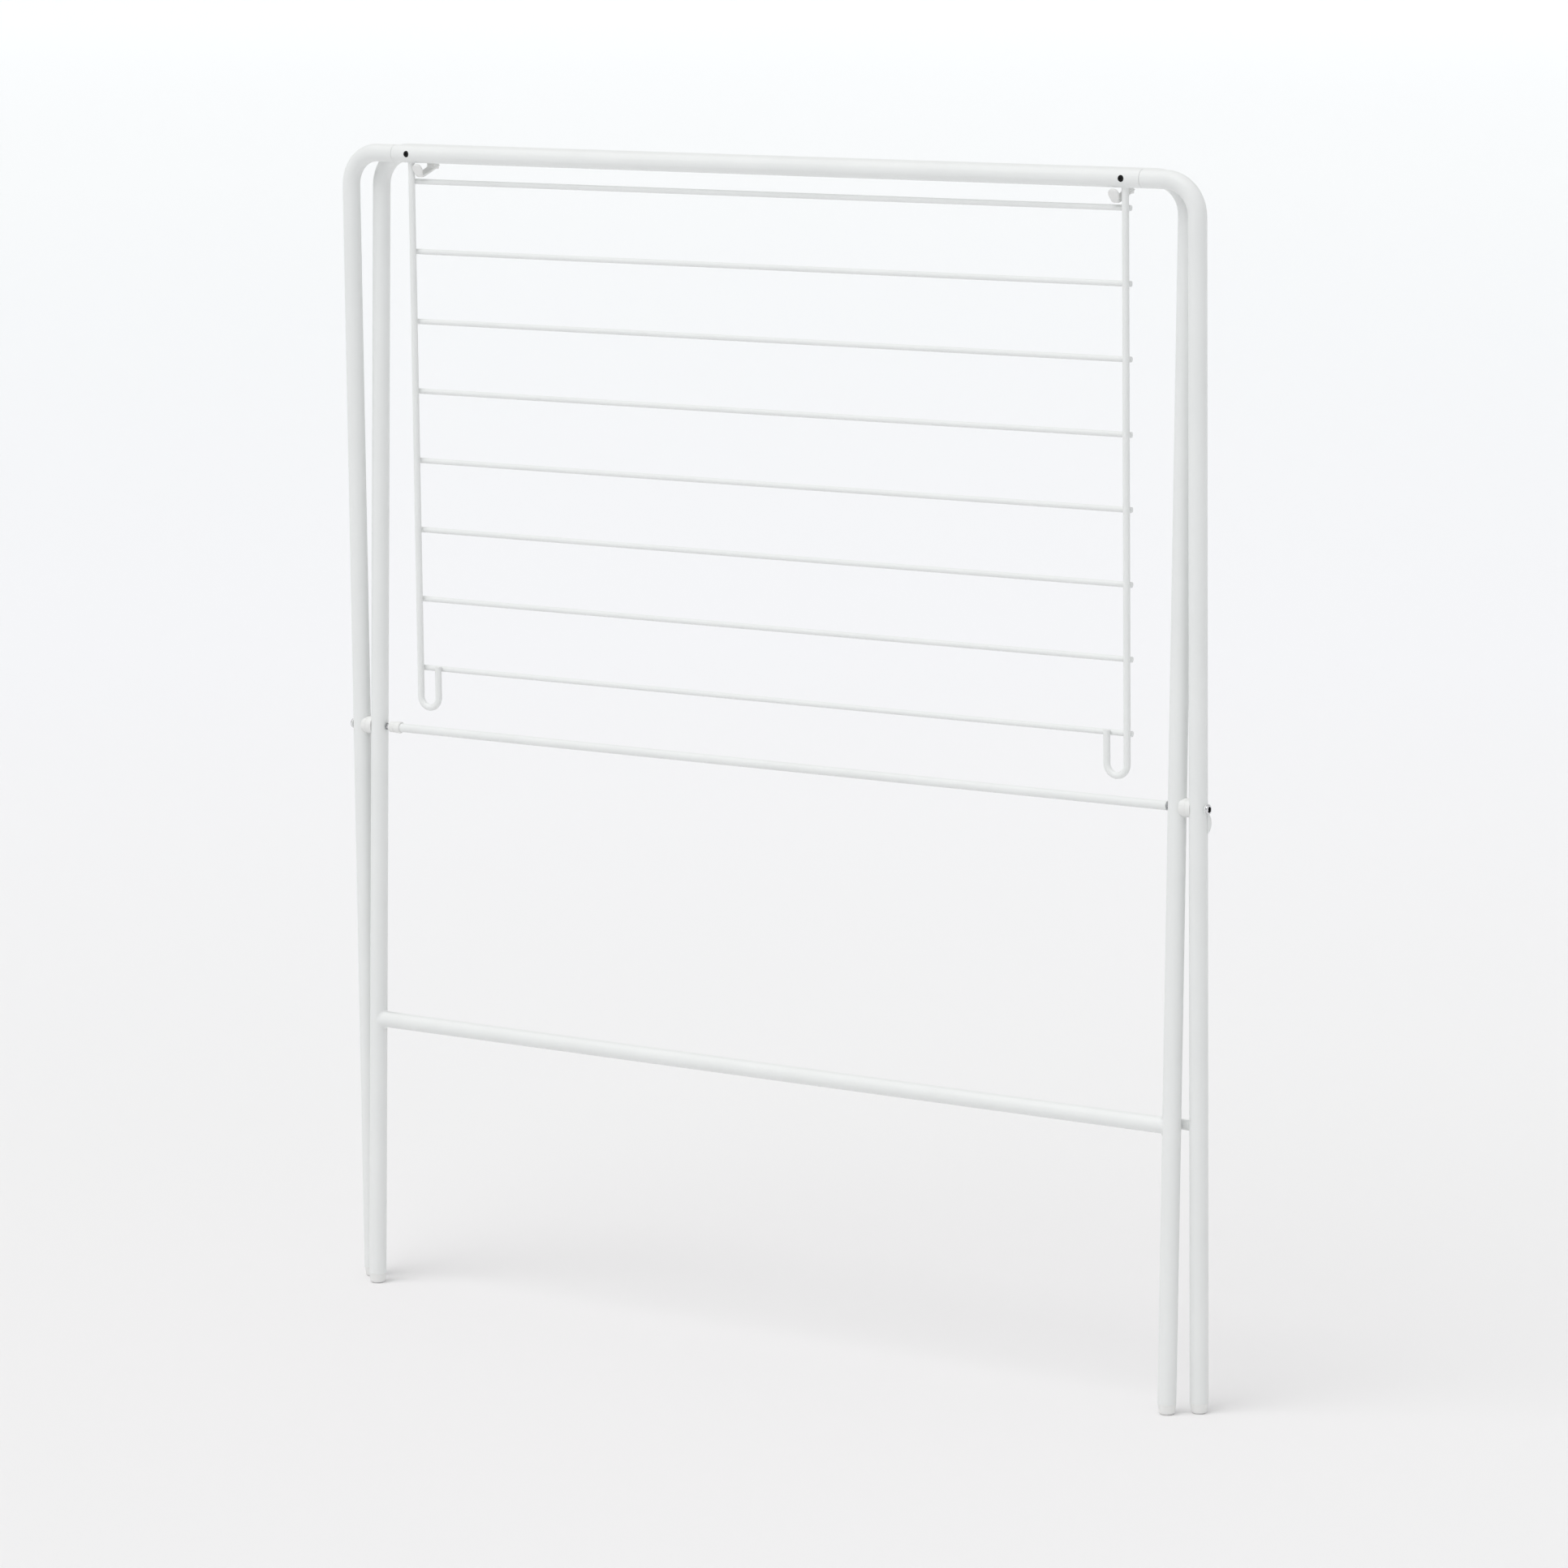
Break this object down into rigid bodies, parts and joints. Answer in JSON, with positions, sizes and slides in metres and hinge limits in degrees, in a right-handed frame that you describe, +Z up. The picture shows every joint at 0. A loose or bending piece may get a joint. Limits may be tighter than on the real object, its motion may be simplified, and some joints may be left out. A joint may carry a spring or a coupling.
{
  "type": "folding clothes drying rack",
  "caption": "Free-standing folding drying rack: two crossed tube frames on a pivot, with a wire grid of rungs hanging from the top tube.",
  "frame": {"origin": "on the floor, midway between the four feet of the folded rack", "axes": "+X along the top bars to the right, +Y away from the user, +Z up"},
  "size_m": [0.9124, 0.0354, 1.0517],
  "materials": {
    "white_powder_coat": "satin powder coat",
    "white_nylon": "moulded, fine grain",
    "natural_nylon": "moulded, natural",
    "bright_steel": "bright plated",
    "zinc_plate": "dull zinc plate",
    "black_oxide": "black oxide"
  },
  "bodies": {
    "outer_frame": {"outer_leg_left": "white_powder_coat", "outer_leg_right": "white_powder_coat", "outer_crossbar": "white_powder_coat", "spigot_bush_left": "natural_nylon", "spigot_bush_right": "natural_nylon", "pivot_bolt_left": "bright_steel", "pivot_bolt_right": "bright_steel", "lock_plate_left": "white_powder_coat", "lock_plate_right": "white_powder_coat", "pivot_spacer_left": "white_nylon", "pivot_spacer_right": "white_nylon", "tie_rod": "white_powder_coat", "tie_rod_sleeve": "white_nylon", "tie_rod_washer_left": "zinc_plate", "tie_rod_washer_right": "zinc_plate", "outer_foot_cap_left": "white_nylon", "outer_foot_cap_right": "white_nylon"},
    "inner_frame": {"inner_leg_left": "white_powder_coat", "inner_leg_right": "white_powder_coat", "inner_top_tube": "white_powder_coat", "inner_crossbar": "white_powder_coat", "loop_hook_left": "white_nylon", "loop_hook_right": "white_nylon", "hook_screw_left": "zinc_plate", "hook_screw_right": "zinc_plate", "leg_saddle_left": "white_nylon", "leg_saddle_right": "white_nylon", "inner_foot_cap_left": "white_nylon", "inner_foot_cap_right": "white_nylon"},
    "grid": {"top_tube": "white_powder_coat", "retaining_screw_left": "black_oxide", "retaining_screw_right": "black_oxide", "side_rod_left": "white_powder_coat", "side_rod_right": "white_powder_coat", "rung_1": "white_powder_coat", "rung_2": "white_powder_coat", "rung_3": "white_powder_coat", "rung_4": "white_powder_coat", "rung_5": "white_powder_coat", "rung_6": "white_powder_coat", "rung_7": "white_powder_coat", "rung_8": "white_powder_coat"}
  },
  "joints": [
    {"name": "frame_fold", "type": "hinge", "parent": "outer_frame", "child": "inner_frame", "pos_m": [0, 0, 0.5188], "axis": [-1, 0, 0], "range_deg": [0, 56]},
    {"name": "grid_swing", "type": "hinge", "parent": "outer_frame", "child": "grid", "pos_m": [0, -0.00971, 1.04371], "axis": [1, 0, 0], "range_deg": [0, 59]}
  ],
  "couplings": [
    {"joint": "grid_swing", "follows": "frame_fold", "ratio": 1.0536}
  ]
}
